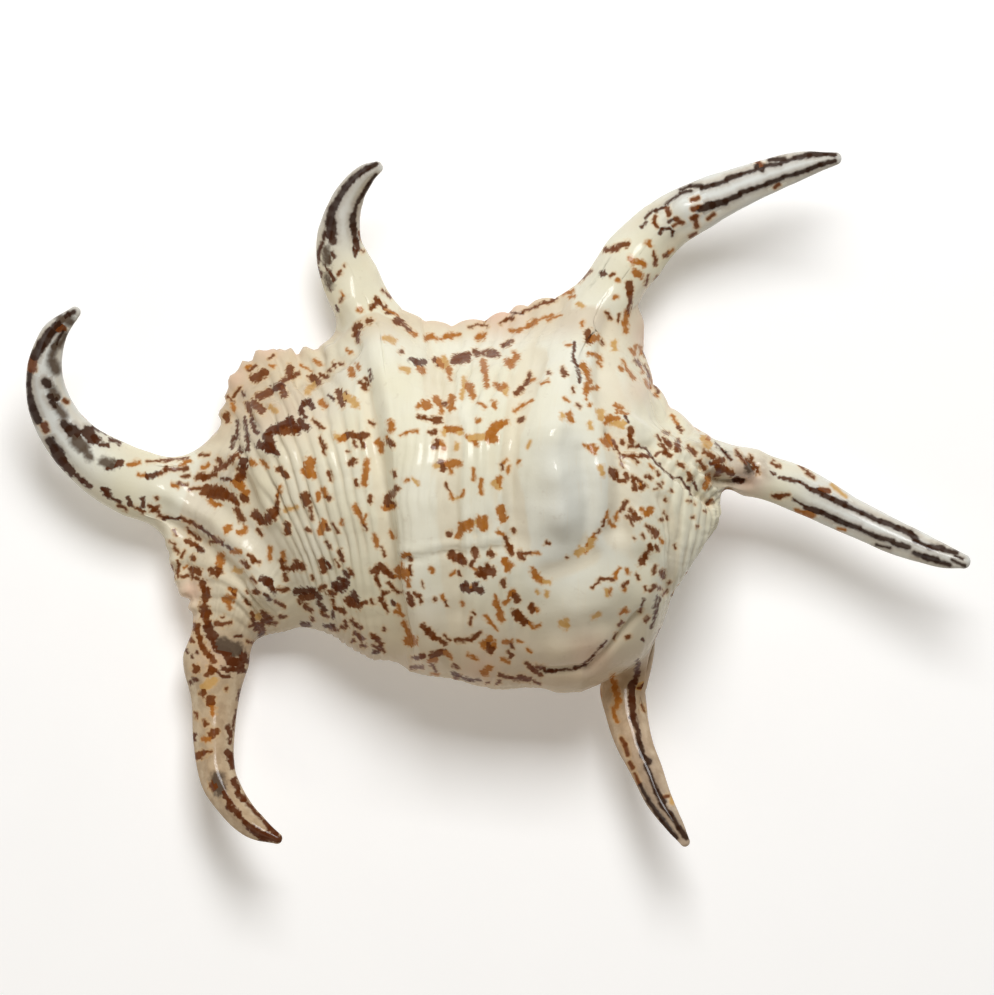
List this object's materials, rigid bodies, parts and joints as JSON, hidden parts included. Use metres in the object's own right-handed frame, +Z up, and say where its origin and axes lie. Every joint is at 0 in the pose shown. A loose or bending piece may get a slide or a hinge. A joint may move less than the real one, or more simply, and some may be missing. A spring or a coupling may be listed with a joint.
{
  "type": "spider conch shell",
  "caption": "Spider conch shell lying on its aperture, a humped cream body with long curved horns round the lip and brown dashes.",
  "frame": {"origin": "on the table plane, under the centre of the shell's outline", "axes": "+X along the shell towards the spire, +Y towards the outer lip, +Z up, away from the aperture"},
  "size_m": [0.1872, 0.1376, 0.0513],
  "materials": {
    "shell": "satin"
  },
  "bodies": {
    "root": {"shell": "shell"}
  },
  "joints": []
}
